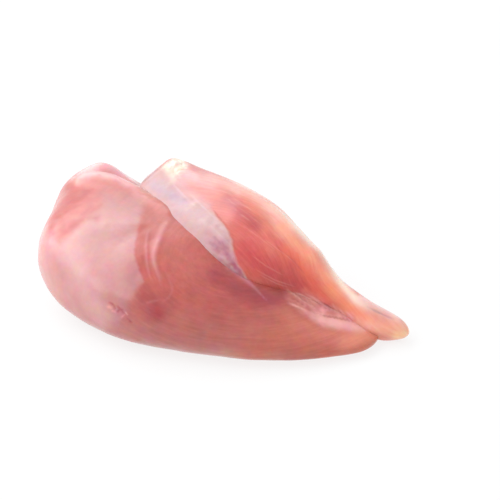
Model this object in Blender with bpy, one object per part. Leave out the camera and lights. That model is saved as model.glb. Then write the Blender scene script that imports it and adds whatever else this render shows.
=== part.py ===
"""Raw chicken breast half, laid skin side down with its inner fillet still attached on top.

Everything is in metres with +Z up. +X runs from the thick shoulder end to the thin tip, +Y points at
the straight inner edge, and the origin is under the middle of the meat, on the surface it lies on.
Sizes below are millimetres, drawn from the middle of the thick part.
"""

import bmesh
import bpy
import numpy as np

MM = 0.001
GAP = 0.4  # clear space between the two muscles

# Large outer muscle: plan outline round its middle, height of the upper face along its length,
# and how square its sides are
MIDDLE = (-18.0, 0.0)
OUTLINE = (
    (-83, 3), (-76.5, -9.5), (-69.2, -24), (-59, -36.8), (-38, -44.5), (-12, -47), (14, -40.5),
    (36, -31), (54, -19), (67, -6), (76, 7), (76, 18), (66, 29), (45, 37), (20, 42), (-12, 44),
    (-44, 44), (-66, 42), (-80, 34), (-86, 24), (-86.5, 13),
)
CROWN_AT = (-90, -82, -72, -60, -35, 0, 15, 28, 40, 50, 60, 75, 90)
CROWN_HEIGHT = (42, 45.5, 47.5, 46.5, 42, 37, 33, 29, 24.5, 20, 16, 11, 9)
BLUNT_FROM, BLUNT_TO = -80.0, -30.0  # stretch over which the thick end turns into the flat one
WAIST_SHARE, WAIST_SHARE_BLUNT = 0.36, 0.44  # height of the widest line as a share of the crown
TOP_POWER, TOP_POWER_BLUNT = 2.3, 3.05
UNDER_POWER, UNDER_POWER_BLUNT = 3.0, 1.8
SINK = 1.5  # how far the belly would hang below the surface that flattens it

# Folds of the thick end, in order: raised rim, groove behind it, rear lobe, hollow beside the tendon
# and the sloping near shoulder. Each has its plan path, its height and its half width.
FOLDS = (
    (((-71, 11.5), (-62, 13), (-45, 16)), 2.4, 5.5),
    (((-75, 15), (-67, 18.5), (-52, 25)), -6.0, 4.2),
    (((-84, 9), (-80, 18), (-74, 23)), 4.8, 9.0),
    (((-56, 38), (-46, 30)), -12.0, 12.0),
    (((-93, -20), (-93, -6)), -7.0, 13.0),
)

# Inner fillet: its near and far edges and its half thickness at shares of its length
STATIONS = (0.0, 0.12, 0.30, 0.45, 0.57, 0.68, 0.79, 0.90, 1.0)
NEAR_EDGE = (
    (-54, 24, 36), (-44, 14, 34), (-14, -2, 31), (8, -7, 27.5), (25, -5.5, 23.5),
    (41, 5.5, 17), (57, 14.5, 11.5), (72, 15.5, 5), (83.5, 21, 3),
)
FAR_EDGE = (
    (-43, 41, 46), (-28, 45, 41), (0, 45, 35.5), (17, 41, 31), (34, 34, 24),
    (48, 28, 17), (62, 27, 12), (75, 29.5, 8.5), (87.2, 30, 4.5),
)
HALF_THICKNESS = (7, 9, 12, 13, 12, 10, 8, 5.8, 4.2)
STRIP_POWER = 2.2
CAP_START, CAP_END = 0.07, 0.06  # shares of the length over which the two ends round off
TENDON_AT, TENDON_RISE, TENDON_WIDTH = (-41, 36, 44), 3.4, 5.5
TIP_CLEARANCE = 0.3  # height of the lowest point of the tip above the surface

BREAST_SEGMENTS, BREAST_RINGS = 80, 44
STRIP_SEGMENTS, STRIP_RINGS = 36, 56

BREAST_COLOUR = (0.62, 0.27, 0.24, 1.0)
STRIP_COLOUR = (0.74, 0.30, 0.20, 1.0)
WET_ROUGHNESS = 0.28


def clear_scene():
    """Removes every object that the file opened with."""
    for thing in list(bpy.data.objects):
        bpy.data.objects.remove(thing, do_unlink=True)


def through(knots, values, at):
    """Cubic curve through (knots, values), held flat past both ends."""
    knots = np.asarray(knots, float)
    values = np.asarray(values, float)
    slopes = np.gradient(values, knots)
    at = np.clip(at, knots[0], knots[-1])
    index = np.clip(np.searchsorted(knots, at, side="right") - 1, 0, len(knots) - 2)
    span = knots[index + 1] - knots[index]
    t = (at - knots[index]) / span
    start = values[index] * (2 * t**3 - 3 * t**2 + 1) + slopes[index] * span * (t**3 - 2 * t**2 + t)
    end = values[index + 1] * (3 * t**2 - 2 * t**3) + slopes[index + 1] * span * (t**3 - t**2)
    return start + end


def outline_radius(angle):
    """Distance from the middle to the plan outline in each direction."""
    points = np.array(OUTLINE) - MIDDLE
    angles = np.arctan2(points[:, 1], points[:, 0])
    order = np.argsort(angles)
    angles = angles[order]
    radii = np.hypot(points[:, 0], points[:, 1])[order]
    turns = np.concatenate([angles - 2 * np.pi, angles, angles + 2 * np.pi])
    return through(turns, np.tile(radii, 3), angle)


def ease(start, end, at):
    """0 before start, 1 after end, smooth between."""
    t = np.clip((at - start) / (end - start), 0, 1)
    return t * t * (3 - 2 * t)


def path_distance(x, y, path):
    """Distance in plan from a path of straight stretches."""
    nearest = np.full(np.shape(x), np.inf)
    for (ax, ay), (bx, by) in zip(path[:-1], path[1:]):
        run_x = bx - ax
        run_y = by - ay
        t = np.clip(((x - ax) * run_x + (y - ay) * run_y) / (run_x**2 + run_y**2), 0, 1)
        nearest = np.minimum(nearest, np.hypot(x - ax - t * run_x, y - ay - t * run_y))
    return nearest


def bell(distance, width):
    """1 on a line, fading out over its width."""
    return np.exp(-((distance / width) ** 2))


def breast_form(ball):
    """Places unit sphere points on the outer muscle: a superellipsoid on the plan outline."""
    turn = np.arctan2(ball[:, 1], ball[:, 0])
    rise = np.arcsin(np.clip(ball[:, 2], -1, 1))
    upper = rise >= 0
    radius = outline_radius(turn)
    rim_x = MIDDLE[0] + radius * np.cos(turn)
    blunt = 1 - ease(BLUNT_FROM, BLUNT_TO, rim_x)
    top = TOP_POWER + (TOP_POWER_BLUNT - TOP_POWER) * blunt
    under = UNDER_POWER + (UNDER_POWER_BLUNT - UNDER_POWER) * blunt
    power = 2 / np.where(upper, top, under)
    reach = np.clip(np.cos(rise), 0, 1) ** power
    lift = np.abs(np.sin(rise)) ** power
    x = MIDDLE[0] + radius * reach * np.cos(turn)
    y = MIDDLE[1] + radius * reach * np.sin(turn)
    crown = through(CROWN_AT, CROWN_HEIGHT, x)
    share = WAIST_SHARE + (WAIST_SHARE_BLUNT - WAIST_SHARE) * blunt
    waist = share * through(CROWN_AT, CROWN_HEIGHT, rim_x)
    for path, height, width in FOLDS:
        crown = crown + height * bell(path_distance(x, y, path), width)
    z = waist + np.where(upper, crown - waist, -waist - SINK) * lift
    return np.stack([x, y, np.maximum(z, 0)], -1)


def edge_point(edge, share):
    """Point on a lengthwise edge of the inner fillet."""
    return np.stack([through(STATIONS, column, share) for column in np.transpose(edge)], -1)


def unit(vectors):
    return vectors / np.linalg.norm(vectors, axis=-1, keepdims=True)


def round_end(share, length):
    """Quarter circle profile that closes an end of the strip."""
    return np.sqrt(1 - (1 - np.clip(share / length, 0, 1)) ** 2)


def strip_form(ball):
    """Places unit sphere points on the inner fillet: rounded sections between its two edges."""
    share = (1 + ball[:, 2]) / 2
    turn = np.arctan2(ball[:, 1], ball[:, 0])
    near = edge_point(NEAR_EDGE, share)
    far = edge_point(FAR_EDGE, share)
    step = 0.01
    ahead = edge_point(NEAR_EDGE, share + step) + edge_point(FAR_EDGE, share + step)
    behind = edge_point(NEAR_EDGE, share - step) + edge_point(FAR_EDGE, share - step)
    across = (far - near) / 2
    up = unit(np.cross(unit(ahead - behind), across))
    size = (round_end(share, CAP_START) * round_end(1 - share, CAP_END))[:, None]
    thick = through(STATIONS, HALF_THICKNESS, share)[:, None]
    wide = (np.sign(np.cos(turn)) * np.abs(np.cos(turn)) ** (2 / STRIP_POWER))[:, None]
    high = (np.sign(np.sin(turn)) * np.abs(np.sin(turn)) ** (2 / STRIP_POWER))[:, None]
    points = (near + far) / 2 + size * (across * wide + up * thick * high)
    points[:, 2] += TENDON_RISE * bell(np.linalg.norm(points - TENDON_AT, axis=1), TENDON_WIDTH)
    points[:, 2] = np.maximum(points[:, 2], TIP_CLEARANCE)
    return points


def split_into_triangles(mesh):
    """Fixes how each bent quad is folded, so that a grown copy keeps its distance."""
    shape = bmesh.new()
    shape.from_mesh(mesh)
    bmesh.ops.triangulate(shape, faces=shape.faces)
    shape.to_mesh(mesh)
    shape.free()


def shaped_sphere(name, form, segments, rings):
    """A UV sphere whose points are moved by a form function."""
    mesh = bpy.data.meshes.new(name)
    ball = bmesh.new()
    bmesh.ops.create_uvsphere(ball, u_segments=segments, v_segments=rings, radius=1.0)
    ball.to_mesh(mesh)
    ball.free()
    points = np.empty(len(mesh.vertices) * 3)
    mesh.vertices.foreach_get("co", points)
    mesh.vertices.foreach_set("co", (form(points.reshape(-1, 3)) * MM).ravel())
    split_into_triangles(mesh)
    mesh.shade_smooth()
    return bpy.data.objects.new(name, mesh)


def wet_meat(name, colour):
    """Moist raw flesh."""
    material = bpy.data.materials.new(name)
    material.use_nodes = True
    shader = material.node_tree.nodes["Principled BSDF"]
    shader.inputs["Base Color"].default_value = colour
    shader.inputs["Roughness"].default_value = WET_ROUGHNESS
    shader.inputs["Metallic"].default_value = 0.0
    return material


def collection(name):
    group = bpy.data.collections.new(name)
    bpy.context.scene.collection.children.link(group)
    return group


def grow(thing, distance):
    """Moves every point outward by a distance."""
    mesh = thing.data
    count = len(mesh.vertices) * 3
    points = np.empty(count)
    normals = np.empty(count)
    mesh.vertices.foreach_get("co", points)
    mesh.vertex_normals.foreach_get("vector", normals)
    mesh.vertices.foreach_set("co", points + normals * distance)
    mesh.update()


def breast_fillet(parts):
    """The large outer muscle with its flat underside."""
    thing = shaped_sphere("breast_fillet", breast_form, BREAST_SEGMENTS, BREAST_RINGS)
    thing.data.materials.append(wet_meat("breast_meat", BREAST_COLOUR))
    parts.objects.link(thing)
    return thing


def seat_cutter(cutters, breast):
    """The outer muscle grown by the gap, which hollows the underside of the inner fillet."""
    thing = bpy.data.objects.new("seat_cutter", breast.data.copy())
    grow(thing, GAP * MM)
    thing.hide_render = True
    thing.display_type = "WIRE"
    cutters.objects.link(thing)
    return thing


def inner_fillet(parts, cutter):
    """The long slender muscle that lies in the seam, with the stub of its tendon."""
    thing = shaped_sphere("inner_fillet", strip_form, STRIP_SEGMENTS, STRIP_RINGS)
    thing.data.materials.append(wet_meat("inner_meat", STRIP_COLOUR))
    parts.objects.link(thing)
    cut = thing.modifiers.new("seat", "BOOLEAN")
    cut.operation = "DIFFERENCE"
    cut.solver = "EXACT"
    cut.object = cutter
    return thing


def centre_on_origin(muscles, cutter):
    """Moves everything together so that the middle of the two muscles' box is over the origin."""
    corners = np.array([corner.co for muscle in muscles for corner in muscle.data.vertices])
    middle = (corners.min(0) + corners.max(0)) / 2
    for thing in [*muscles, cutter]:
        thing.location = (-middle[0], -middle[1], 0.0)


def main():
    clear_scene()
    parts = collection("raw_chicken_breast")
    cutters = collection("cutters")
    breast = breast_fillet(parts)
    cutter = seat_cutter(cutters, breast)
    inner = inner_fillet(parts, cutter)
    centre_on_origin([breast, inner], cutter)


main()
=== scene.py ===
import bpy
import numpy as np
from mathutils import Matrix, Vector


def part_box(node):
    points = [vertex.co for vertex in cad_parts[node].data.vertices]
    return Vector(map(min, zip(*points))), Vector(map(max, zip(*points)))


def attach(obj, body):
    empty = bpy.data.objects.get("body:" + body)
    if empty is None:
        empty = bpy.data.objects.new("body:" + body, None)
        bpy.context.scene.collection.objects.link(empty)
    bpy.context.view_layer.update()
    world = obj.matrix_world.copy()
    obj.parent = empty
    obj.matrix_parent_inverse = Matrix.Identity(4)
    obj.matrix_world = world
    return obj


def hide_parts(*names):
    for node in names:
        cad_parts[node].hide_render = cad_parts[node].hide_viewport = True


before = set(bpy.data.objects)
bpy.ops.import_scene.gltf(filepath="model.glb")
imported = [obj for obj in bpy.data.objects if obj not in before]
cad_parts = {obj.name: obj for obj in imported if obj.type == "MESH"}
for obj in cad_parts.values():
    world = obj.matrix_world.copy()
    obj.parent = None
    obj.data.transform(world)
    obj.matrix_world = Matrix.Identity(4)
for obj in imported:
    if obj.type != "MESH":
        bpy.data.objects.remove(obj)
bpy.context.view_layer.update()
fine = 1.0
mm = 0.001

# The viewer: where the photograph was taken from. Marks on the meat are placed by how far right and up
# they lie, in mm, in the plane through aim that faces the viewer.
viewer = {"azimuth": 33.0, "elevation": 28.0, "distance": 900.0, "aim": (9.3, 21.5, 24.4), "lens": 149.9}

turned, raised = np.radians((viewer["azimuth"], viewer["elevation"]))
toViewer = np.array((np.sin(turned) * np.cos(raised), -np.cos(turned) * np.cos(raised), np.sin(raised)))
viewRight = np.array((np.cos(turned), np.sin(turned), 0.0))
viewUp = np.cross(toViewer, viewRight)


# Cubic curve through knots and values, t the share of a span: v0(2t^3 - 3t^2 + 1) + v1(3t^2 - 2t^3)
# + span * (slope0(t^3 - 2t^2 + t) + slope1(t^3 - t^2))
def through(knots, values, at):
    knots, values = np.asarray(knots, float), np.asarray(values, float)
    slopes = np.gradient(values, knots)
    at = np.clip(at, knots[0], knots[-1])
    index = np.clip(np.searchsorted(knots, at, side="right") - 1, 0, len(knots) - 2)
    span = knots[index + 1] - knots[index]
    t = (at - knots[index]) / span
    start = values[index] * (2 * t**3 - 3 * t**2 + 1) + slopes[index] * span * (t**3 - 2 * t**2 + t)
    return start + values[index + 1] * (3 * t**2 - 2 * t**3) + slopes[index + 1] * span * (t**3 - t**2)


# 3t^2 - 2t^3 between start and end
def ease(start, end, at):
    t = np.clip((at - start) / (end - start), 0, 1)
    return t * t * (3 - 2 * t)


# start + (end - start) * share
def between(ends, share):
    return ends[0] + (ends[1] - ends[0]) * share


# exp(-(distance / width)^2)
def bell(distance, width):
    return np.exp(-((distance / width) ** 2))


# Distance from a path of straight stretches, which side of it (left positive) and the share of its
# length reached: the nearest foot a + t(b - a), t clipped to 0..1
def nearPath(x, y, path):
    nearest, side, share = np.full(x.shape, np.inf), np.zeros(x.shape), np.zeros(x.shape)
    path = np.asarray(path, float)
    spans = np.hypot(*np.diff(path, axis=0).T)
    begun = np.concatenate([[0], np.cumsum(spans)])
    for k in range(len(spans)):
        (ax, ay), (bx, by) = path[k], path[k + 1]
        t = np.clip(((x - ax) * (bx - ax) + (y - ay) * (by - ay)) / spans[k] ** 2, 0, 1)
        away = np.hypot(x - ax - t * (bx - ax), y - ay - t * (by - ay))
        closer = away < nearest
        nearest = np.where(closer, away, nearest)
        side = np.where(closer, np.sign((bx - ax) * (y - ay) - (by - ay) * (x - ax)), side)
        share = np.where(closer, (begun[k] + t * spans[k]) / begun[-1], share)
    return nearest, side, share


# Soft area: ease of the distance inside a closed outline (crossing count) over the width of its edge
def area(x, y, outline, edge):
    ring = [*outline, outline[0]]
    within = np.zeros(x.shape, bool)
    for (ax, ay), (bx, by) in zip(ring[:-1], ring[1:]):
        if ay != by:
            within ^= ((ay > y) != (by > y)) & (x < ax + (bx - ax) * (y - ay) / (by - ay))
    away = nearPath(x, y, ring)[0]
    return ease(-edge / 2, edge / 2, np.where(within, away, -away))


# Value noise: random heights on a lattice of the given size in mm, blended by 3t^2 - 2t^3 on each axis
def wander(points, size, seed):
    lattice = np.random.default_rng(seed).uniform(-1, 1, (32, 32, 32))
    at = points / size + 100
    cell = np.floor(at).astype(int)
    t = at - cell
    t = t * t * (3 - 2 * t)
    total = np.zeros(points.shape[:-1])
    for corner in np.ndindex(2, 2, 2):
        weight = np.prod(np.where(corner, t, 1 - t), axis=-1)
        i, j, k = np.moveaxis((cell + corner) % 32, -1, 0)
        total += weight * lattice[i, j, k]
    return total


# Sum of value noises of a size and a height in mm, each from its own seed
def ripples(points, waves):
    return sum(height * wander(points, size, seed) for size, height, seed in waves)


# sin(pi * share)^power, share kept the margin off both ends: a stroke fades out at its ends
def taper(share, power, margin=0.02):
    return np.sin(np.pi * np.clip(share, margin, 1 - margin)) ** power


# Bell of the distance from a path, made uneven by adding waver to the distance
def stroke(h, v, path, width, waver=0.0):
    return bell(nearPath(h, v, path)[0] + waver, width)


# Unit normals of a grid that closes on itself along axis 1: cross(dP/du, dP/dv)
def gridNormals(points):
    around = np.roll(points, -1, 1) - np.roll(points, 1, 1)
    along = np.gradient(points, axis=0)
    normal = np.cross(around, along)
    length = np.linalg.norm(normal, axis=-1, keepdims=True)
    return normal / np.where(length > 0, length, 1)


# Right and up of points in the viewer's plane: distance * (q.right, q.up) / (distance - q.toViewer)
def facing(points):
    away = points - viewer["aim"]
    scale = viewer["distance"] / (viewer["distance"] - away @ toViewer)
    return (away @ viewRight) * scale, (away @ viewUp) * scale


# How far a surface faces the viewer: ease of the cosine between, 0 on the hidden side and 1 where it shows
def showing(normals):
    return ease(-0.5, 0.1, normals @ toViewer)


# Sum of marks, each times its height in mm
def raisedBy(heights, marks):
    return sum(height * marks[mark] for mark, height in heights.items())


# Closed mesh of a grid with one point at each end: quads between rows and a fan round each end
def gridPiece(name, points, marks, material):
    rows, columns = points.shape[:2]
    inner = points[1:-1].reshape(-1, 3)
    spots = np.concatenate([inner, points[0, :1], points[-1, :1]]) * mm
    r, c = np.meshgrid(np.arange(rows - 3), np.arange(columns), indexing="ij")
    after = (c + 1) % columns
    row, nextRow = r * columns, (r + 1) * columns
    quads = np.stack([row + c, row + after, nextRow + after, nextRow + c], -1).reshape(-1, 4)
    ring = np.arange(columns)
    nextRing = (ring + 1) % columns
    first, last = len(inner), len(inner) + 1
    top = (rows - 3) * columns
    fans = np.concatenate([
        np.stack([np.full(columns, first), nextRing, ring], -1),
        np.stack([np.full(columns, last), top + ring, top + nextRing], -1),
    ])
    mesh = bpy.data.meshes.new(name)
    mesh.from_pydata(spots, [], quads.tolist() + fans.tolist())
    mesh.update()
    mesh.shade_smooth()
    for mark, values in marks.items():
        flat = np.concatenate([values[1:-1].reshape(-1, *values.shape[2:]), values[0, :1], values[-1, :1]])
        kind, key = ("FLOAT_VECTOR", "vector") if flat.ndim > 1 else ("FLOAT", "value")
        mesh.attributes.new(mark, kind, "POINT").data.foreach_set(key, flat.ravel().astype(np.float32))
    piece = bpy.data.objects.new(name, mesh)
    bpy.context.scene.collection.objects.link(piece)
    mesh.materials.append(material)
    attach(piece, "root")
    return piece


# Outer muscle, lengths in mm
breast = {
    "middle": (-18.0, 0.0),
    "outline": (
        (-83, 3), (-76.5, -9.5), (-69.2, -24), (-59, -36.8), (-38, -44.5), (-12, -47), (14, -40.5),
        (36, -31), (54, -19), (67, -6), (76, 7), (76, 18), (66, 29), (45, 37), (20, 42), (-12, 44),
        (-44, 44), (-66, 42), (-80, 34), (-86, 24), (-86.5, 13),
    ),
    "crownAt": (-90, -82, -72, -60, -35, 0, 15, 28, 40, 50, 60, 75, 90),
    "crownHeight": (42, 45.5, 47.5, 46.5, 42, 37, 33, 29, 24.5, 20, 16, 11, 9),
    "blunt": (-80.0, -30.0),  # how far along the blunt end is full, and where it is gone
    "waistShare": (0.36, 0.44),  # away from the blunt end and at it, as both powers below
    "topPower": (2.3, 3.05),
    "underPower": (3.0, 1.8),
    "sink": 1.5,
    "folds": (  # path, height and width, hollows below zero
        (((-71, 11.5), (-62, 13), (-45, 16)), 2.4, 5.5),
        (((-75, 15), (-67, 18.5), (-52, 25)), -6.0, 4.2),
        (((-84, 9), (-80, 18), (-74, 23)), 4.8, 9.0),
        (((-56, 38), (-46, 30)), -12.0, 12.0),
        (((-93, -20), (-93, -6)), -7.0, 13.0),
    ),
    "hub": (0.0, 16.0),  # where the grid closes, hidden under the inner fillet
    "hubPower": 0.77,
    "closer": (0.28, 1.1),  # how much closer the columns get on the near side, and its phase
    "baseAngle": -62,  # rise at which the rows of the side begin
    "columns": 440,
    "topRows": 150,
    "sideRows": 56,
    "baseRows": 12,
}


# Radius of the plan outline in each direction: cubic curve through its points, repeated every turn
def outlineRadius(angle):
    x, y = (np.array(breast["outline"]) - breast["middle"]).T
    angles = np.arctan2(y, x)
    order = np.argsort(angles)
    angles, radii = angles[order], np.hypot(x, y)[order]
    turns = np.concatenate([angles - 2 * np.pi, angles, angles + 2 * np.pi])
    return through(turns, np.tile(radii, 3), angle)


# Plan point = hub + cos(rise)^power * (rim - hub). z = waist + (crown - waist) * (1 - reach^n)^(1/n) above
# and waist - (waist + sink) * (1 - reach^n)^(1/n) below, reach = distance from the middle / outline radius
def breastGrid(turn, rise):
    middle = np.array(breast["middle"])
    rim = middle + outlineRadius(turn)[..., None] * np.stack([np.cos(turn), np.sin(turn)], -1)
    hub = np.array(breast["hub"])
    spread = np.clip(np.cos(rise), 0, 1) ** breast["hubPower"]
    plan = hub + (rim - hub) * spread[..., None]
    x, y = np.moveaxis(plan, -1, 0)
    heading = np.arctan2(y - middle[1], x - middle[0])
    radius = outlineRadius(heading)
    reach = np.clip(np.hypot(x - middle[0], y - middle[1]) / radius, 0, 1)
    rimX = middle[0] + radius * np.cos(heading)
    blunt = 1 - ease(*breast["blunt"], rimX)
    upper = rise >= 0
    power = np.where(upper, between(breast["topPower"], blunt), between(breast["underPower"], blunt))
    lift = np.clip(1 - reach**power, 0, 1) ** (1 / power)
    crown = through(breast["crownAt"], breast["crownHeight"], x)
    for path, height, width in breast["folds"]:
        crown = crown + height * bell(nearPath(x, y, path)[0], width)
    waist = between(breast["waistShare"], blunt) * through(breast["crownAt"], breast["crownHeight"], rimX)
    z = waist + np.where(upper, crown - waist, -waist - breast["sink"]) * lift
    return np.stack([x, y, np.maximum(z, 0)], -1)


# Inner fillet, lengths in mm
inner = {
    "stations": (0.0, 0.12, 0.30, 0.45, 0.57, 0.68, 0.79, 0.90, 1.0),
    "nearEdge": (
        (-54, 24, 36), (-44, 14, 34), (-14, -2, 31), (8, -7, 27.5), (25, -5.5, 23.5),
        (41, 5.5, 17), (57, 14.5, 11.5), (72, 15.5, 5), (83.5, 21, 3),
    ),
    "farEdge": (
        (-43, 41, 46), (-28, 45, 41), (0, 45, 35.5), (17, 41, 31), (34, 34, 24),
        (48, 28, 17), (62, 27, 12), (75, 29.5, 8.5), (87.2, 30, 4.5),
    ),
    "halfThickness": (7, 9, 12, 13, 12, 10, 8, 5.8, 4.2),
    "power": 2.2,
    "caps": (0.07, 0.06),
    "step": 0.01,  # share ahead and behind that gives the direction
    "tendon": ((-41, 36, 44), 3.4, 5.5),  # place, height and width of the stub
    "length": 150.0,
    "lowest": 0.3,  # height that no point goes below
    "rows": 340,
    "columns": 280,
}


# Point on a lengthwise edge: cubic curve through the edge's stations
def edgePoint(edge, share):
    return np.stack([through(inner["stations"], column, share) for column in np.transpose(edge)], -1)


# Middle line of the fillet: halfway between its edges
def middleLine(share):
    return (edgePoint(inner["nearEdge"], share) + edgePoint(inner["farEdge"], share)) / 2


# sign(wave) * |wave|^(2/power): a flatter or rounder sine
def squared(wave):
    return (np.sign(wave) * np.abs(wave) ** (2 / inner["power"]))[..., None]


# Middle line + size * (across * cos(turn)^(2/p) + up * thickness * sin(turn)^(2/p)), signs kept, where
# size = sqrt(1 - (1 - share/cap)^2) at both ends
def innerGrid(share, turn):
    near, far = edgePoint(inner["nearEdge"], share), edgePoint(inner["farEdge"], share)
    run = middleLine(share + inner["step"]) - middleLine(share - inner["step"])
    run = run / np.linalg.norm(run, axis=-1, keepdims=True)
    across = (far - near) / 2
    up = np.cross(run, across)
    up = up / np.linalg.norm(up, axis=-1, keepdims=True)
    size = np.prod([np.sqrt(1 - (1 - np.clip(s / cap, 0, 1)) ** 2)
                    for s, cap in zip((share, 1 - share), inner["caps"])], axis=0)[..., None]
    thick = through(inner["stations"], inner["halfThickness"], share)[..., None]
    ring = across * squared(np.cos(turn)) + up * thick * squared(np.sin(turn))
    points = middleLine(share) + size * ring
    spot, rise, width = inner["tendon"]
    points[..., 2] += rise * bell(np.linalg.norm(points - spot, axis=-1), width)
    points[..., 2] = np.maximum(points[..., 2], inner["lowest"])
    return points


# Builds both base forms and shifts them so that the outer muscle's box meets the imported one
columnTurn = np.linspace(0, 2 * np.pi, int(breast["columns"] * fine), endpoint=False)
columnTurn = columnTurn - breast["closer"][0] * np.sin(columnTurn + breast["closer"][1])
rowRise = np.radians(np.concatenate([
    np.linspace(-90, breast["baseAngle"], int(breast["baseRows"] * fine), endpoint=False),
    np.linspace(breast["baseAngle"], 0, int(breast["sideRows"] * fine), endpoint=False),
    np.linspace(0, 90, int(breast["topRows"] * fine)),
]))
rise, turn = np.meshgrid(rowRise, columnTurn, indexing="ij")
breastBase = breastGrid(turn, rise)
stripShare = (1 - np.cos(np.linspace(0, np.pi, int(inner["rows"] * fine)))) / 2
share, stripTurn = np.meshgrid(
    stripShare, np.linspace(0, 2 * np.pi, int(inner["columns"] * fine), endpoint=False), indexing="ij"
)
innerBase = innerGrid(share, stripTurn)
packedLow, packedHigh = (np.array(corner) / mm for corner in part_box("breast_fillet"))
drawnLow, drawnHigh = breastBase.min((0, 1)), breastBase.max((0, 1))
shift = ((packedLow + packedHigh) - (drawnLow + drawnHigh)) / 2 * (1, 1, 0)
print("forms ready, shift mm", shift.round(3))

# Marks of the outer muscle, in mm right and up of the viewer's aim. The clear film on its shoulder, its
# pale tone partly the membrane's own and partly a painted highlight of the softbox
filmAndHighlight = {
    "outline": ((-90.8, 7.6), (-81.1, 11.7), (-71.3, 14.9), (-64.9, 20.3), (-61.6, 22.9), (-54.1, 23.8),
        (-43.2, 22.7), (-41.1, 10.8), (-43.2, -8.6), (-45.4, -20.5), (-50.8, -28.1), (-59.5, -31.3),
        (-69.2, -27.0), (-78.9, -20.5), (-86.5, -11.9), (-91.3, -2.2)),
    "edge": 13.0,
    "rightEdge": ((-46.3, 24.9), (-46.3, 19.2), (-47.1, 14.3), (-48.8, 8.6), (-49.5, 3.4), (-49.7, -1.0),
        (-48.9, -5.2), (-47.6, -9.3), (-45.8, -13.6), (-48.0, -16.4), (-50.8, -19.9), (-53.6, -25.9)),
    "crisp": (1.6, 5.0, 5.0),  # width of the edge along its middle, and what its top and low end add
    "crispEnds": (0.32, 0.7),  # shares of its length where those begin
    # Bell behind the edge: painted highlight, the softbox's reflection on the film
    "filmHighlight": ((-73.0, 5.9), (-65.9, 7.4), (-60.0, 7.8)),
    "filmHighlightWidth": 9.0,
    "wave": ((4, 0.6, 10), (1.3, 0.25, 13)),
}

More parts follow.
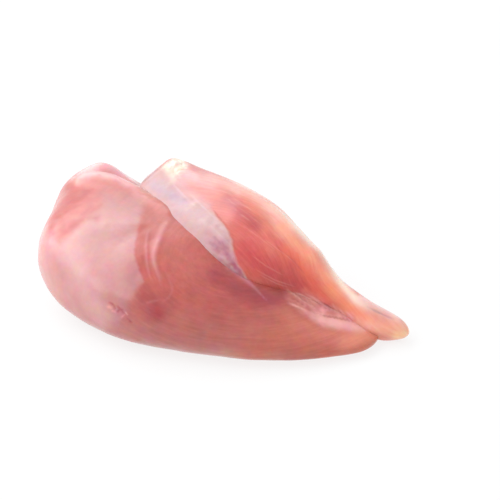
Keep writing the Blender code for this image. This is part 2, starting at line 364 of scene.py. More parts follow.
# Its other marks: a path or outline, its width, and where a third number follows, a height or a spread.
# A wave is size, height and seed; a ragged area adds least share, spread, size and seed
breastLook = {
    # Ridges: relief, with painted highlight along their crests
    "arcs": (
        (((-35.0, 13.0), (-36.8, 10.2), (-38.4, 6.7), (-39.8, 3.7), (-40.9, 0.9), (-41.7, -2.4),
            (-41.5, -5.3), (-40.8, -8.1), (-39.9, -10.8), (-38.7, -14.7)), 1.1, 0.2),
        (((-43.6, 9.6), (-44.4, 6.5), (-44.8, 3.0), (-44.8, -0.4), (-44.6, -4.3), (-44.3, -7.1),
            (-43.5, -10.6), (-42.5, -12.8), (-41.5, -14.9)), 0.55, 0.08),
        (((-37.3, -8.2), (-35.2, -12.1), (-33.7, -15.7), (-33.7, -17.9), (-35.2, -20.5), (-38.3, -22.7)),
            0.6, 0.02),
        (((-45.4, -23.0), (-42.2, -22.1), (-38.7, -21.4)), 0.6, 0.02),
    ),
    "arcShare": (0.12, 4.0),  # least share of a ridge, and how much its height adds
    "crease": (((-42.6, 6.5), (-43.2, 3.2), (-43.3, 0.0), (-43.3, -3.4), (-42.5, -6.7), (-41.2, -9.9),
        (-39.3, -15.4)), 0.45),
    # Band of painted shade beside the ridges
    "shadeBand": (((-37.8, 24.9), (-41.6, 20.0), (-44.3, 14.1), (-46.3, 6.5), (-47.3, 0.0), (-46.9, -5.4),
        (-46.5, -11.4)), 2.2),
    # Raised rim: its pale tone, line and glints are painted highlight
    "rim": (((-75.1, 30.5), (-71.6, 32.6), (-65.9, 32.8), (-60.0, 31.3), (-54.1, 29.2), (-49.1, 26.6),
        (-44.6, 23.3), (-40.3, 20.8), (-35.1, 16.9)), 2.4, 0.5),
    "rimLine": (((-67.3, 33.6), (-60.4, 31.9), (-53.5, 29.0), (-48.3, 27.3)), 0.5),
    "rimGlow": (((-72.6, 32.2), (-71.3, 32.6)), ((-68.1, 33.2), (-67.2, 33.3))),
    # Pale left side: painted highlight
    "paleSide": (((-88.2, 7.6), (-91.9, -3.2), (-89.2, -14.1), (-82.2, -24.9), (-71.3, -32.4),
        (-56.2, -38.4)), 11.0),
    "leftSwell": (((-91.2, 2.2), (-91.7, -4.3)), 7.0, 1.2),
    "dusk": (((-14.1, -10.8), (-5.4, -17.3), (3.2, -20.5), (11.9, -21.6)), 4.2),
    "duskFall": (((-10.8, -15.1), (-11.9, -21.6), (-13.5, -27.0)), 5.5),
    "tipLine": (((-8.6, -6.7), (-3.8, -11.4), (0.0, -14.6), (3.8, -18.4), (7.0, -21.8)), 0.25, 1.5),
    "belly": (-22.0, -40.0),  # how high the darker lower side starts, and where it is full
    "ragged": {
        "blush": (((-86.5, 5.4), (-88.2, 11.9), (-86.7, 21.6), (-80.0, 31.1), (-71.3, 32.9),
            (-64.3, 29.6), (-65.3, 22.7), (-64.9, 18.2), (-71.3, 13.4), (-76.8, 7.6), (-82.2, 3.2)), 5.0,
            (0.85, 0.3, 3, 14)),
        "stain": (((-48.4, -20.5), (-46.1, -18.2), (-42.2, -17.7), (-36.8, -17.9), (-33.1, -19.9),
            (-31.8, -23.8), (-33.7, -27.7), (-38.9, -30.7), (-44.3, -30.7), (-47.3, -28.1),
            (-48.6, -24.0)), 5.0, (0.8, 0.4, 4, 12)),
    },
    "blotches": (
        (((-80.9, 10.8), (-78.7, 15.6), (-75.9, 17.7)), 1.5),
        (((-77.2, 9.9), (-72.9, 12.8), (-69.0, 18.2)), 1.6),
        (((-75.7, 21.6), (-71.3, 24.9)), 2.2),
        (((-69.0, 16.6), (-64.2, 19.2)), 1.0),
        (((-70.0, 13.8), (-65.7, 13.6)), 1.3),
    ),
    "fleck": (
        ((-60.5, -22.7), (-59.2, -23.6)),
        ((-58.8, -24.0), (-58.2, -25.3)),
        ((-57.1, -24.6), (-55.6, -25.9)),
        ((-57.3, -26.6), (-56.4, -25.7)),
        ((-55.1, -26.8), (-54.3, -27.5)),
        ((-53.0, -29.8), (-51.5, -31.3)),
    ),
    "flake": (
        ((-61.0, -24.6), (-59.9, -25.3)),
        ((-59.5, -26.2), (-58.2, -26.8)),
        ((-55.3, -28.8), (-54.3, -28.1)),
        ((-53.8, -27.2), (-53.0, -27.9)),
    ),
    "fleckWidth": 0.55,
    "scatter": ((1.4, 0.35, 20), (0.7, 0.2, 21)),
    "swell": ((22, 0.35, 41), (9, 0.22, 42), (3.2, 0.05, 43)),  # low waves all over
    "height": {"fleck": -0.22, "flake": 0.12, "tipLine": 0.12},
    "whorl": {"centre": (0.0, -2.2), "squash": 0.62, "spread": 36},
    "soft": {
        "lobe": (((-73.0, 34.6), (-64.9, 36.8), (-59.5, 35.5), (-55.7, 32.6), (-52.4, 30.5)), 3.2),
        "upRed": (((-43.5, 18.2), (-38.9, 14.9), (-34.8, 11.7)), 2.4),
        # Pale strip inside the left side: painted highlight
        "paleInner": (((-78.9, 3.2), (-76.2, -4.3), (-74.0, -11.9), (-69.7, -19.5), (-63.8, -29.2)), 6.0),
        "pinkMid": (((-32.4, 7.6), (-29.2, 0.0), (-28.1, -7.6)), 7.0),
        "warm": (((0.0, -46.5), (17.3, -34.6), (32.4, -43.2), (43.2, -42.2), (56.2, -36.8)), 8.0),
        "clot": (((-41.1, -24.6), (-40.0, -27.2)), 2.6),
        "seamSide": (((11.9, -24.4), (20.5, -30.7), (30.3, -35.7), (41.1, -38.1)), 3.6),
        "thinEnd": (((42.2, -38.9), (48.6, -36.8), (56.2, -35.7)), 5.0),
        # Paler bottom edge: painted bounce light from the floor
        "lowEdge": (((-45.4, -41.3), (-36.8, -43.2), (-21.6, -44.9), (-5.4, -46.1), (10.8, -46.5)), 3.2),
    },
}

# Torn membrane over the seam, which both pieces carry a part of
fascia = {
    "outline": ((14.7, -16.9), (22.7, -18.2), (30.9, -21.2), (39.1, -25.3), (46.5, -28.3), (52.3, -32.9),
        (49.7, -35.0), (42.2, -34.6), (32.4, -33.1), (25.9, -29.4), (20.5, -26.4), (16.2, -22.3)),
    "edge": 3.6,
    "thin": 18.4,
    "full": 31.3,
    "light": (
        ((16.2, -17.5), (19.0, -19.5), (21.6, -21.2), (24.6, -22.9), (27.7, -25.3)),
        ((18.6, -18.6), (22.1, -19.5), (25.1, -20.8), (28.1, -22.9), (30.1, -24.9)),
        ((24.2, -19.2), (27.0, -20.5), (30.1, -22.5), (33.3, -24.6), (36.8, -26.4)),
        ((16.6, -23.1), (20.3, -24.6), (24.2, -26.4)),
        ((35.9, -23.6), (37.4, -25.7), (38.7, -27.5)),
        ((38.5, -25.1), (40.0, -27.0), (41.5, -28.5)),
        ((41.3, -26.6), (43.0, -28.3), (44.5, -29.8)),
    ),
    # Creases, darkened with painted shade
    "dark": (
        ((17.9, -21.2), (19.9, -21.8), (21.6, -22.9), (23.8, -24.6), (26.2, -26.2)),
        ((27.0, -27.0), (32.4, -28.5), (39.3, -29.8), (44.5, -31.1)),
        ((30.7, -22.3), (34.2, -24.4), (36.5, -26.4)),
        ((20.5, -20.3), (22.9, -21.6), (25.9, -23.6)),
    ),
    # Smooth band, lightened with painted highlight
    "band": ((24.2, -27.0), (28.1, -28.8), (32.4, -30.1), (38.9, -31.6), (45.4, -33.1), (53.6, -34.8)),
    "bandWidth": 2.3,
    "bandShare": (0.4, 0.6),
    "strandWidth": {"light": 0.42, "dark": 0.3},
    "height": {"light": 0.16, "dark": -0.14, "sheen": 0.3},
    "crumpleHeight": 0.12,
}


# Fine strands, creases darkened with painted shade and a smooth band of painted highlight: area and tapered
# strokes that crumple moves; returns their relief
def fasciaMarks(points, h, v, seen, marks):
    crumple = wander(points * (0.6, 1, 1), 1.8, 31) + 0.7 * wander(points, 1.0, 32)
    marks["fascia"] = area(h, v, fascia["outline"], fascia["edge"]) * (0.75 + 0.35 * crumple) * seen
    marks["fascia"] *= 0.3 + 0.7 * ease(fascia["thin"], fascia["full"], h)
    for mark, width in fascia["strandWidth"].items():
        strand = np.zeros(h.shape)
        for path in fascia[mark]:
            away, _, share = nearPath(h, v, path)
            strand = np.maximum(strand, bell(away + 0.3 * crumple, width) * taper(share, 0.5, 0.04))
        marks[mark] = strand * seen
    away, _, share = nearPath(h, v, fascia["band"])
    swell = taper(share, 0.6)
    least, more = fascia["bandShare"]
    marks["sheen"] = bell(away + 0.2 * crumple, fascia["bandWidth"] * (least + more * swell)) * swell * seen
    return raisedBy(fascia["height"], marks) + fascia["crumpleHeight"] * crumple * marks["fascia"]


# Film: area of its outline, cut by the right edge, which is crisp in the middle and soft at both ends. Its
# pale tone is partly a painted highlight, and a bell behind the edge paints its brightest highlight
def filmAndHighlightMarks(h, v, wave, seen, marks):
    away, side, share = nearPath(h + wave, v, filmAndHighlight["rightEdge"])
    middle, top, low = filmAndHighlight["crisp"]
    topEnd, lowEnd = filmAndHighlight["crispEnds"]
    width = middle + top * ease(topEnd, 0, share) + low * ease(lowEnd, 1, share)
    behindEdge = ease(-0.5, 0.5, away * -side / width)
    marks["filmAndHighlight"] = area(h, v, filmAndHighlight["outline"], filmAndHighlight["edge"]) * behindEdge * seen
    marks["filmHighlight"] = stroke(h, v, filmAndHighlight["filmHighlight"], filmAndHighlight["filmHighlightWidth"]) * behindEdge * seen


# Ridges with painted highlight on their crests: the strongest tapered bell of any path, less the crease
# between, and a band of painted shade beside them; returns their relief
def ridgeMarks(h, v, seen, marks):
    relief, strongest = np.zeros(h.shape), np.zeros(h.shape)
    least, more = breastLook["arcShare"]
    for path, width, height in breastLook["arcs"]:
        away, _, share = nearPath(h, v, path)
        fade = taper(share, 0.6)
        strongest = np.maximum(strongest, bell(away, width) * fade * (least + more * height))
        relief = relief + height * (bell(away, width * 1.3) - 0.3 * bell(away, width * 3)) * fade
    marks["arc"] = strongest * (1 - 0.8 * stroke(h, v, *breastLook["crease"])) * seen
    path, width = breastLook["shadeBand"]
    away, _, share = nearPath(h, v, path)
    marks["band"] = bell(away, width) * taper(share, 0.5, 0.0) * seen
    return relief


# Raised rim, its pale tone painted highlight, and a line and glints of painted highlight: bells of their
# paths; returns the rim's relief
def rimMarks(points, h, v, wave, seen, marks):
    path, width, height = breastLook["rim"]
    away, _, share = nearPath(h, v, path)
    raised = bell(away, width)
    patchy = 0.8 + 0.2 * wander(points, 2, 15)
    marks["rim"] = raised * patchy * (1 - 0.8 * ease(0.6, 0.95, share)) * seen
    marks["creamAndRimHighlight"] = stroke(h, v, *breastLook["rimLine"])
    for glint in breastLook["rimGlow"]:
        marks["creamAndRimHighlight"] = np.maximum(marks["creamAndRimHighlight"], bell(nearPath(h, v, glint)[0] * (1 + 0.3 * wave), 1.0))
    marks["creamAndRimHighlight"] *= seen
    return height * raised


# Blush, blood stain, blotches, flecks and flakes: areas and bells, all made ragged by noise
def spotMarks(points, h, v, seen, marks):
    for mark, (outline, edge, (least, spread, size, seed)) in breastLook["ragged"].items():
        marks[mark] = area(h, v, outline, edge) * (least + spread * wander(points, size, seed)) * seen
    patch = np.max([stroke(h, v, *blotch) for blotch in breastLook["blotches"]], axis=0)
    marks["blotch"] = patch * (0.75 + 0.5 * wander(points, 2.2, 11)) * seen
    scatter = ripples(points, breastLook["scatter"])
    for mark in ("fleck", "flake"):
        spots = [stroke(h, v, path, breastLook["fleckWidth"], scatter) for path in breastLook[mark]]
        marks[mark] = np.max(spots, axis=0) * seen


# Shares of each mark on the outer muscle, and its relief in mm along the normal: the marks' own where the
# viewer sees it, and low waves all over. The fibres run round a whorl: radius, then angle * spread
def breastMarks(points, normals):
    h, v = facing(points)
    seen = showing(normals)
    marks = {name: stroke(h, v, *mark) * seen for name, mark in breastLook["soft"].items()}
    wave = ripples(points, filmAndHighlight["wave"])
    filmAndHighlightMarks(h, v, wave, seen, marks)
    relief = ridgeMarks(h, v, seen, marks) + rimMarks(points, h, v, wave, seen, marks)
    spotMarks(points, h, v, seen, marks)
    # Pale left side, painted highlight, fading towards its low end
    path, width = breastLook["paleSide"]
    away, _, share = nearPath(h, v, path)
    marks["paleSide"] = bell(away, width) * (1 - 0.75 * ease(0.3, 0.9, share)) * seen
    fall = 0.3 * stroke(h, v, *breastLook["duskFall"])
    marks["dusk"] = np.maximum(stroke(h, v, *breastLook["dusk"]), fall) * seen
    path, width, spread = breastLook["tipLine"]
    away, _, share = nearPath(h, v, path)
    marks["tipLine"] = bell(away, width + spread * (1 - share) ** 1.3) * (1 - 0.75 * share) * seen
    path, width, height = breastLook["leftSwell"]
    relief = relief + height * stroke(h, v, path, width) + fasciaMarks(points, h, v, seen, marks)
    relief = relief + raisedBy(breastLook["height"], marks)
    marks["belly"] = ease(*breastLook["belly"], v + 0.1 * h) * seen
    whorl = breastLook["whorl"]
    across, up = (h - whorl["centre"][0]) * whorl["squash"], v - whorl["centre"][1]
    turns = np.arctan2(up, across) * whorl["spread"]
    marks["grain"] = np.stack([np.hypot(across, up), turns, points[..., 2] * 0.2], -1)
    lying = ease(0.4, 3.0, points[..., 2])
    return marks, (relief * seen + ripples(points, breastLook["swell"])) * lying


# Marks of the inner fillet, in the same plane. The pearly silverskin along its near edge
skin = {
    "outline": ((-49.7, 28.3), (-46.5, 32.0), (-41.1, 35.7), (-36.1, 38.5), (-32.0, 37.2), (-32.4, 32.4),
        (-31.1, 28.1), (-28.1, 24.6), (-22.7, 21.8), (-17.5, 17.9), (-12.5, 12.1), (-9.5, 8.0),
        (-7.8, 3.7), (-7.1, -0.9), (-5.4, -5.6), (-1.7, -11.7), (2.2, -16.4), (6.5, -21.2), (0.5, -17.3),
        (-6.5, -10.8), (-13.0, -5.6), (-21.6, 0.0), (-32.4, 7.6), (-41.1, 18.4)),
    "edge": (0.9, 3.2),  # width of the edge low down, and what it gains towards the tendon
    "softFrom": (8.0, 26.0),
    "lip": ((-31.8, 31.3), (-31.1, 28.1), (-28.1, 24.6), (-22.7, 21.8), (-17.5, 17.9), (-12.5, 12.1),
        (-9.5, 8.0), (-7.8, 3.7), (-7.1, -0.9), (-5.4, -5.6), (-1.7, -11.7)),
    "lipWidth": 0.55,
    "veins": (
        ((-17.1, 3.0), (-14.1, 0.9), (-10.8, 0.0), (-8.4, -3.5)),
        ((-15.1, 5.2), (-11.9, 1.7), (-9.5, 0.4)),
        ((-11.9, 3.0), (-10.2, -1.7), (-6.9, -5.6)),
    ),
    "streaks": (1.2, 8.0),
    "veinWidth": 0.6,
    "within": {
        "lilac": (((-41.1, 28.1), (-35.7, 24.9), (-30.3, 21.6)), 2.4),
        "bright": (((-28.1, 17.8), (-19.5, 11.9), (-13.0, 5.9)), 3.4),
        "low": (((-17.8, 7.6), (-13.5, 3.2), (-10.8, 0.0)), 2.4),
        "purple": (((-13.8, 0.9), (-10.4, -1.5), (-7.4, -5.4), (-3.7, -10.8)), 3.0),
        "creamAndRimHighlight": (((-36.8, 35.7), (-33.5, 32.4), (-32.4, 30.3)), 1.8),
        # Fringe: painted shade along the skin's lower border
        "fringe": (((-46.5, 28.1), (-43.2, 25.9), (-40.0, 22.1), (-36.1, 18.4), (-32.4, 14.3),
            (-28.1, 9.5), (-21.6, 3.2)), 0.9),
    },
}

# Its other marks, given in the same way
innerLook = {
    "tendon": (((-34.2, 36.1), (-32.4, 38.1), (-29.6, 38.5), (-28.8, 36.8), (-31.8, 34.6)), 2.2),
    "tendonCrumple": ((2.4, 0.45, 53), (1.1, 0.2, 54)),
    # Far rim: partly the fat's cream colour, partly painted rim light
    "farRim": (((-27.0, 37.0), (-17.3, 33.7), (-5.4, 29.2), (5.4, 24.0), (12.1, 18.6), (17.5, 13.0),
        (24.2, 5.8), (30.1, -0.4), (33.7, -5.4), (36.8, -10.8), (41.1, -16.4), (45.4, -21.0),
        (50.2, -24.2), (56.2, -27.0), (62.7, -29.4), (67.0, -31.6)), 2.1),
    "elbow": (((31.3, -1.7), (35.5, -6.9)), 5.5, 1.3),
    "flap": (((45.6, -19.9), (49.7, -22.1), (54.0, -24.0), (59.5, -26.2), (64.4, -28.8)), 1.6),
    "flapShade": (((49.7, -24.2), (55.1, -26.8), (59.5, -28.8), (63.1, -30.3)), 0.4),
    "seamShade": (((23.8, -17.3), (29.8, -19.9), (35.7, -22.7), (42.2, -25.9), (47.6, -29.4)), 1.3),
    "hair": (
        (((-10.2, 22.5), (-5.4, 18.8), (0.5, 14.3), (5.2, 10.2)), 0.28),
        (((-8.6, 23.6), (-2.2, 19.2), (3.2, 14.9)), 0.2),
        (((-6.3, 17.3), (-2.2, 13.8), (1.7, 11.7)), 0.24),
        (((-3.2, 10.8), (4.3, 5.2), (10.8, 0.0)), 0.2),
        (((0.5, -2.2), (6.5, -6.7), (14.1, -10.8)), 0.2),
        (((6.5, 4.3), (15.1, -2.2), (21.6, -7.6)), 0.2),
        (((2.2, -8.4), (10.8, -13.0), (19.5, -16.0)), 0.22),
        (((4.3, -10.8), (11.9, -14.7), (16.2, -16.0)), 0.2),
    ),
    "redHair": (
        (((-7.8, 21.2), (-4.1, 17.7), (0.4, 14.9)), 0.35),
        (((14.7, -1.1), (19.5, -5.6), (23.8, -10.4)), 0.4),
        (((10.8, 2.2), (15.1, -2.6)), 0.3),
    ),
    "height": {"skin": 0.3, "lip": 0.18, "flap": 0.3, "flapShade": -0.25, "hair": 0.07, "redHair": -0.07},
    "turns": (9, 13, 20, 23, 20, 13, 9, 7, 5),  # mm of noise to each radian round, at each station
    "drawnOut": 0.09,  # mm of noise to each mm along the fillet
    "soft": {
        # Pale top and pale rim by the neck: painted highlight
        "pinkTop": (((-27.0, 33.5), (-21.6, 32.0), (-16.9, 30.1)), 4.4),
        "neckRim": (((-16.9, 30.9), (-11.9, 29.1), (-5.4, 26.2)), 2.6),
        "orange": (((-4.3, 28.1), (5.4, 22.1), (11.9, 14.9), (16.2, 9.7)), 4.2),
        "apricot": (((-1.7, 20.3), (2.8, 15.8), (7.4, 10.2)), 2.6),
        "redRise": (((16.2, 0.0), (21.6, -4.3), (25.4, -9.9), (28.1, -16.0), (33.0, -21.2)), 3.2),
        "ember": (((14.1, 9.7), (21.6, 1.1), (27.9, -5.4), (31.3, -9.7), (34.8, -15.1), (40.0, -21.6),
            (45.6, -26.2), (50.4, -29.8)), 3.6),
        "amber": (((35.2, -16.4), (40.0, -22.1), (45.6, -26.6), (49.9, -29.6)), 2.4),
        # Deeper red just above the seam: painted shade in the crease
        "deep": (((-2.2, 0.0), (6.5, -7.6), (16.2, -14.1), (23.8, -17.9)), 5.2),
        "core": (((-7.6, 16.2), (0.0, 7.6), (8.6, 0.0)), 5.5),
        "streak": (((-9.7, 21.6), (-4.3, 16.6), (2.7, 10.8)), 3.2),
        "salmon": (((-19.2, 22.1), (-14.1, 17.7), (-10.4, 11.9), (-8.6, 6.5)), 4.2),
        "veil": (((-31.1, 32.4), (-30.1, 28.8), (-27.0, 25.1), (-22.7, 22.5), (-18.4, 19.2)), 2.3),
        "finger": (((53.0, -32.9), (56.2, -33.5), (60.5, -34.6), (68.1, -34.6)), 4.6),
        "tip": (((63.8, -36.8), (68.1, -36.3)), 2.6),
    },
}


# Silverskin: area of its outline, a bell along its lip, bells times the skin within, one of them painted
# shade along its lower border; returns its crinkle
def skinMarks(points, h, v, crinkle, seen, marks):
    soft = ease(*skin["softFrom"], v)
    edge = skin["edge"][0] + skin["edge"][1] * soft
    ragged = 0.25 * crinkle
    marks["skin"] = area(h + ragged, v + ragged, skin["outline"], edge) * seen
    away = nearPath(h + ragged, v + ragged, skin["lip"])[0]
    marks["lip"] = bell(away, skin["lipWidth"]) * (1 - 0.8 * soft) * seen
    for name, (path, width) in skin["within"].items():
        marks[name] = stroke(h, v, path, width, 0.3 * crinkle) * marks["skin"]
    veins = [stroke(h, v, path, skin["veinWidth"], 0.35 * crinkle) for path in skin["veins"]]
    marks["vein"] = np.max(veins, axis=0) * marks["skin"]
    marks["purple"] *= 0.75 + 0.5 * wander(points, 1.3, 55)
    narrow, long = skin["streaks"]
    diagonal = 0.71
    slant = np.stack([(h + v) * diagonal / narrow, (h - v) * diagonal / long, 0 * h], -1)
    marks["shine"] = marks["skin"] * ease(-0.1, 0.8, wander(slant, 1.0, 57)) * ease(-10, 0, -away)
    return 0.1 * crinkle * marks["skin"]


# Far rim, partly painted rim light, thin flap and the painted shades by it and in the seam: bells that fade
# along their paths
def fingerMarks(h, v, crinkle, seen, marks):
    path, width = innerLook["farRim"]
    away, _, along = nearPath(h, v, path)
    rimShare = ease(0.28, 0.5, along) * (1 - 0.65 * ease(0.8, 0.9, along))
    marks["farRim"] = bell(away, width + 0.6 * ease(0.75, 0.9, along)) * rimShare * seen
    path, width = innerLook["flap"]
    away, _, along = nearPath(h, v, path)
    marks["flap"] = bell(away, width) * seen * ease(0, 0.15, along)
    path, width = innerLook["flapShade"]
    away, _, along = nearPath(h, v, path)
    marks["flapShade"] = bell(away + 0.25 * crinkle, width) * taper(along, 1) * seen
    path, width = innerLook["seamShade"]
    marks["seamShade"] = stroke(h, v, path, width, 0.35 * crinkle) * seen


# Shares of each mark on the inner fillet, and its relief in mm along the normal: the marks' own, and noise
# drawn out along its fibres, which fades where the turn closes. share and turn are those of the grid
def innerMarks(points, normals, share, turn):
    h, v = facing(points)
    seen = showing(normals)
    marks = {name: stroke(h, v, *mark) * seen for name, mark in innerLook["soft"].items()}
    crinkle = wander(points, 2.6, 51)
    fingerMarks(h, v, crinkle, seen, marks)
    relief = skinMarks(points, h, v, crinkle, seen, marks)
    path, width = innerLook["tendon"]
    marks["tendon"] = bell(nearPath(h, v, path)[0] * (1 + 0.25 * wander(points, 2.2, 52)), width) * seen
    relief = relief + marks["tendon"] * ripples(points, innerLook["tendonCrumple"])
    path, width, height = innerLook["elbow"]
    relief = relief + height * stroke(h, v, path, width) + fasciaMarks(points, h, v, seen, marks)
    for mark in ("hair", "redHair"):
        strand = np.zeros(h.shape)
        for path, width in innerLook[mark]:
            away, _, along = nearPath(h, v, path)
            strand = np.maximum(strand, bell(away, width) * taper(along, 0.5))
        marks[mark] = strand * seen
    relief = relief + raisedBy(innerLook["height"], marks)
    around = turn * through(inner["stations"], innerLook["turns"], share)
    bundles = np.stack([around, share * inner["length"] * innerLook["drawnOut"], np.zeros(h.shape)], -1)
    closing = 0.5
    wrapped = ease(0, closing, turn) * ease(2 * np.pi, 2 * np.pi - closing, turn)
    relief = relief + 0.13 * wander(bundles, 3.2, 61) * wrapped + 0.35 * wander(points, 11, 62)
    marks["grain"] = bundles + (0, 0, 1) * points[..., 2:] * 0.1
    return marks, relief * ease(0.3, 1.2, points[..., 2])


# Adds one shader node: properties and inputs from settings, an input that is a socket being linked
def addNode(tree, kind, settings):
    node = tree.nodes.new(kind)
    for key, value in settings.items():
        if isinstance(key, str) and hasattr(node, key):
            setattr(node, key, value)
        elif isinstance(value, bpy.types.NodeSocket):
            tree.links.new(value, node.inputs[key])
        else:
            node.inputs[key].default_value = value
    return node


# sRGB hex to linear: ((c + 0.055) / 1.055)^2.4, or c / 12.92 where c is dark
def linear(colour):
    parts = np.array([int(colour[i:i + 2], 16) / 255 for i in (1, 3, 5)])
    parts = np.where(parts <= 0.04045, parts / 12.92, ((parts + 0.055) / 1.055) ** 2.4)
    return (*parts.tolist(), 1.0)


# Wet raw muscle. Cut and washed flesh: fibre bundles about a millimetre apart under a clear wet membrane.
# flesh is two hexes that noise of the mottle size mixes, tint the size and share of colour noise, fibre
# the size of the grain once stretched. The layers go on in turn: mark, hex and the most of it. rough and
# wet are the roughness of flesh and water film, bump is strength and depth. Sizes are in mm
def wetMuscle(name, settings):
    material = bpy.data.materials.new(name)
    material.use_nodes = True
    tree = material.node_tree
    shader = tree.nodes["Principled BSDF"]
    where = addNode(tree, "ShaderNodeTexCoord", {}).outputs["Object"]
    grain = addNode(tree, "ShaderNodeAttribute", {"attribute_name": "grain"}).outputs["Vector"]

    def noise(vector, size, detail, roughness=0.5):
        return addNode(tree, "ShaderNodeTexNoise", {
            "Vector": vector, "Scale": 1 / size, "Detail": detail, "Roughness": roughness}).outputs["Fac"]

    def remap(value, low, high, to=(0.0, 1.0)):
        return addNode(tree, "ShaderNodeMapRange", {
            "Value": value, "From Min": low, "From Max": high, "To Min": to[0], "To Max": to[1]}).outputs[0]

    def mix(factor, first, second, blend="MIX"):
        return addNode(tree, "ShaderNodeMix", {
            "data_type": "RGBA", "blend_type": blend, 0: factor, 6: first, 7: second}).outputs[2]

    mottle = remap(noise(where, settings["mottle"] * mm, 4.0, 0.55), 0.35, 0.65)
    colour = mix(mottle, *(linear(shade) for shade in settings["flesh"]))
    streak = addNode(tree, "ShaderNodeMapping", {
        "vector_type": "POINT", "Vector": grain, "Scale": settings["stretch"]}).outputs[0]
    fibres = noise(streak, settings["fibre"], 3.0, 0.6)
    light = remap(fibres, 0.3, 0.7, (0.5 - settings["contrast"], 0.5 + settings["contrast"]))
    stripes = addNode(tree, "ShaderNodeCombineColor", {
        "Red": light, "Green": light, "Blue": light}).outputs[0]
    for layer in settings["layers"]:
        if layer == "fibres":
            colour = mix(1.0, colour, stripes, "SOFT_LIGHT")
            continue
        mark, shade, most = layer
        value = addNode(tree, "ShaderNodeAttribute", {"attribute_name": mark}).outputs["Fac"]
        factor = addNode(tree, "ShaderNodeMath", {
            "operation": "MULTIPLY", "use_clamp": True, 0: value, 1: most}).outputs[0]
        colour = mix(factor, colour, linear(shade))
    for size, most in settings["tint"]:
        speckle = addNode(tree, "ShaderNodeTexNoise", {
            "Vector": where, "Scale": 1 / (size * mm), "Detail": 3.0}).outputs["Color"]
        colour = mix(most, colour, speckle, "SOFT_LIGHT")
    tree.links.new(colour, shader.inputs["Base Color"])
    rough = remap(noise(where, 3 * mm, 2.0), 0.3, 0.7, settings["rough"])
    tree.links.new(rough, shader.inputs["Roughness"])
    pores = noise(where, 0.7 * mm, 2.0)
    height = addNode(tree, "ShaderNodeMath", {
        "operation": "MULTIPLY_ADD", 0: pores, 1: 0.25, 2: fibres}).outputs[0]
    bump = addNode(tree, "ShaderNodeBump", {
        "Strength": settings["bump"][0], "Distance": settings["bump"][1] * mm, "Height": height}).outputs[0]
    tree.links.new(bump, shader.inputs["Normal"])
    ripple = addNode(tree, "ShaderNodeBump", {
        "Strength": 0.1, "Distance": 0.1 * mm, "Height": noise(where, 2.4 * mm, 2.0)}).outputs[0]
    tree.links.new(ripple, shader.inputs["Coat Normal"])
    for socket, value in {
        "IOR": 1.4, "Specular IOR Level": 0.3,
        "Subsurface Weight": 0.3, "Subsurface Scale": 1.0,
        "Subsurface Radius": (4 * mm, 1.5 * mm, 1.0 * mm),
        "Coat Weight": 1.0, "Coat IOR": 1.4, "Coat Roughness": settings["wet"],
    }.items():
        shader.inputs[socket].default_value = value
    return material


breastMeat = wetMuscle("wetBreastMuscle", {
    "flesh": ("#af524d", "#b85850"), "mottle": 9.0, "tint": ((5.0, 0.3), (1.6, 0.14)),
    "stretch": (1.0, 0.13, 1.0), "fibre": 1.25, "contrast": 0.065,
    "rough": (0.34, 0.46), "bump": (0.15, 0.12), "wet": 0.25,
    "layers": (
        # The lower edge's paler tone is painted bounce light from the floor
        ("belly", "#b46560", 0.85), ("lowEdge", "#be8680", 0.85), ("pinkMid", "#c0665e", 0.6),
        ("warm", "#c46853", 0.75), ("thinEnd", "#e08a72", 0.8), ("seamSide", "#d2786a", 0.6),
        # The band: painted shade beside the film's edge
        ("band", "#b0493f", 0.75), ("stain", "#a43e40", 0.68), ("clot", "#a02c36", 0.6),
        # The film: partly the membrane's own tone, partly painted highlight
        ("dusk", "#993842", 0.8), ("upRed", "#b0463c", 0.5), "fibres", ("filmAndHighlight", "#b97c7d", 0.85),
        # Painted highlight: the film's paler heart, the pale strip inside the left side and the pale left
        # side
        ("filmHighlight", "#cd9a98", 0.75), ("paleInner", "#d8a8a8", 0.55), ("paleSide", "#e6adac", 0.68),
        # The rim's pale tone is painted highlight
        ("blush", "#bc5852", 0.9), ("rim", "#e6aca4", 0.8), ("lobe", "#f0b8be", 0.88),
        # The rim's line and glints, and the ridges' crests: painted highlight
        ("creamAndRimHighlight", "#e4aaa2", 0.5), ("blotch", "#b04a4a", 0.7), ("arc", "#cf8a8e", 0.85),
        ("fleck", "#aa4c50", 0.75), ("flake", "#e8a4a2", 0.6), ("tipLine", "#cc8898", 0.8),
        # The smooth band's sheen is painted highlight
        ("fascia", "#f2aeac", 0.85), ("sheen", "#eeb2b0", 0.85), ("light", "#f6bcb4", 0.65),
        # Painted shade in the membrane's creases
        ("dark", "#a04c48", 0.55),
    ),
})
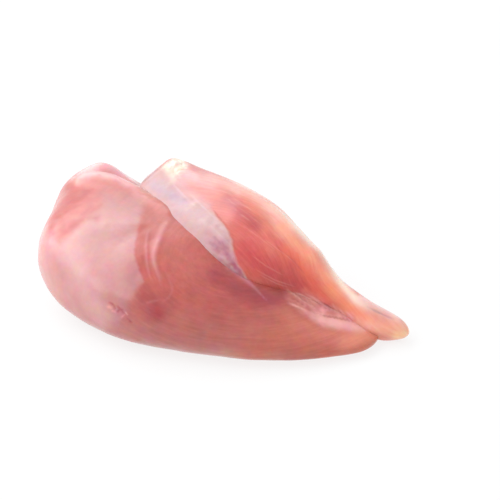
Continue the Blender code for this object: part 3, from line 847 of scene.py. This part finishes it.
innerMeat = wetMuscle("wetInnerFilletMuscle", {
    "flesh": ("#c9594e", "#cc6152"), "mottle": 8.0, "tint": ((5.0, 0.25), (1.6, 0.16)),
    "stretch": (1.0, 1.0, 1.0), "fibre": 1.1, "contrast": 0.09,
    "rough": (0.3, 0.44), "bump": (0.3, 0.12), "wet": 0.17,
    "layers": (
        # The pale top and the pale rim by the neck: painted highlight
        ("pinkTop", "#d8a6a8", 0.8), ("core", "#da706a", 0.6), ("neckRim", "#eab2aa", 0.8),
        # The deeper red is painted shade in the crease above the seam
        ("orange", "#f6baac", 0.88), ("apricot", "#e08068", 0.7), ("deep", "#bf4348", 0.75),
        ("salmon", "#c4645c", 0.6), ("streak", "#b04452", 0.7), ("seamShade", "#da6c58", 0.7),
        ("redRise", "#e86450", 0.75), ("ember", "#f39a7e", 0.85), ("amber", "#f58c68", 0.6),
        # The far rim's cream: partly the fat's colour, partly painted rim light
        ("finger", "#f8b098", 0.9), ("tip", "#ffcaa0", 0.85), "fibres", ("farRim", "#ffe0d0", 0.97),
        ("hair", "#e8a797", 0.28), ("redHair", "#bb4044", 0.45), ("skin", "#b5898b", 0.95),
        ("veil", "#c08a8e", 0.7), ("bright", "#bb9799", 0.7), ("shine", "#d0b3b5", 0.4),
        ("lilac", "#a68fa0", 0.6), ("low", "#b0707c", 0.6), ("purple", "#a2405c", 0.85),
        # The fringe is painted shade along the silverskin's lower border
        ("vein", "#8a4460", 0.45), ("creamAndRimHighlight", "#dcc0ac", 0.7), ("fringe", "#bc8a8c", 0.75),
        ("lip", "#d9a09c", 0.3), ("tendon", "#f4e4d4", 1.0), ("flap", "#f4ccca", 0.85),
        ("flapShade", "#b08088", 0.5), ("fascia", "#f2aeac", 0.6), ("light", "#f6bcb4", 0.6),
        # Painted shade in the membrane's creases
        ("dark", "#a04c48", 0.55),
    ),
})


# Base form + relief * normal, kept above the floor, with its marks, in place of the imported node
def addMuscle(name, node, base, normals, marked, material):
    marks, relief = marked
    points = base + normals * relief[..., None]
    points[..., 2] = np.maximum(points[..., 2], 0.0)
    piece = gridPiece(name, points + shift, marks, material)
    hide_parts(node)
    print(name, len(piece.data.polygons), "faces, relief mm", relief.min().round(2), relief.max().round(2))


breastNormals, innerNormals = gridNormals(breastBase), gridNormals(innerBase)
addMuscle("breastMeat", "breast_fillet", breastBase, breastNormals,
          breastMarks(breastBase, breastNormals), breastMeat)
addMuscle("innerMeat", "inner_fillet", innerBase, innerNormals,
          innerMarks(innerBase, innerNormals, share, stripTurn), innerMeat)

# White sweep floor
floorMesh = bpy.data.meshes.new("whiteFloor")
reach = 3.0
corners = [(-reach, -reach, 0), (reach, -reach, 0), (reach, reach, 0), (-reach, reach, 0)]
floorMesh.from_pydata(corners, [], [(0, 1, 2, 3)])
whiteFloor = bpy.data.objects.new("whiteFloor", floorMesh)
bpy.context.scene.collection.objects.link(whiteFloor)
paint = bpy.data.materials.new("mattWhiteBoard")
paint.use_nodes = True
for socket, value in {"Base Color": (0.15, 0.15, 0.15, 1), "Roughness": 0.9, "Specular IOR Level": 0.0,
                      "Emission Color": (1, 1, 1, 1), "Emission Strength": 0.82}.items():
    paint.node_tree.nodes["Principled BSDF"].inputs[socket].default_value = value
floorMesh.materials.append(paint)

# One large softbox up and to the left, in even white surroundings
lamp = {"size": (1.9, 2.8), "at": (-1.24, -0.14, 1.04), "turn": 0.284, "power": 44.0, "sky": 0.75}
softbox = bpy.data.lights.new("softbox", "AREA")
softbox.shape = "RECTANGLE"
softbox.size, softbox.size_y = lamp["size"]
softbox.energy = lamp["power"]
softboxAt = bpy.data.objects.new("softbox", softbox)
softboxAt.location = lamp["at"]
softboxAt.rotation_euler = (0, 0, lamp["turn"])
bpy.context.scene.collection.objects.link(softboxAt)
sky = bpy.data.worlds.new("studio")
sky.use_nodes = True
sky.node_tree.nodes["Background"].inputs["Color"].default_value = (1, 1, 1, 1)
sky.node_tree.nodes["Background"].inputs["Strength"].default_value = lamp["sky"]
bpy.context.scene.world = sky
bpy.context.scene.view_settings.view_transform = "Standard"

lens = bpy.data.cameras.new("camera")
lens.lens = viewer["lens"]
camera = bpy.data.objects.new("camera", lens)
aim = (np.array(viewer["aim"]) + shift) * mm
camera.location = aim + toViewer * viewer["distance"] * mm
camera.rotation_euler = Vector(-toViewer).to_track_quat("-Z", "Y").to_euler()
bpy.context.scene.collection.objects.link(camera)
bpy.context.scene.camera = camera
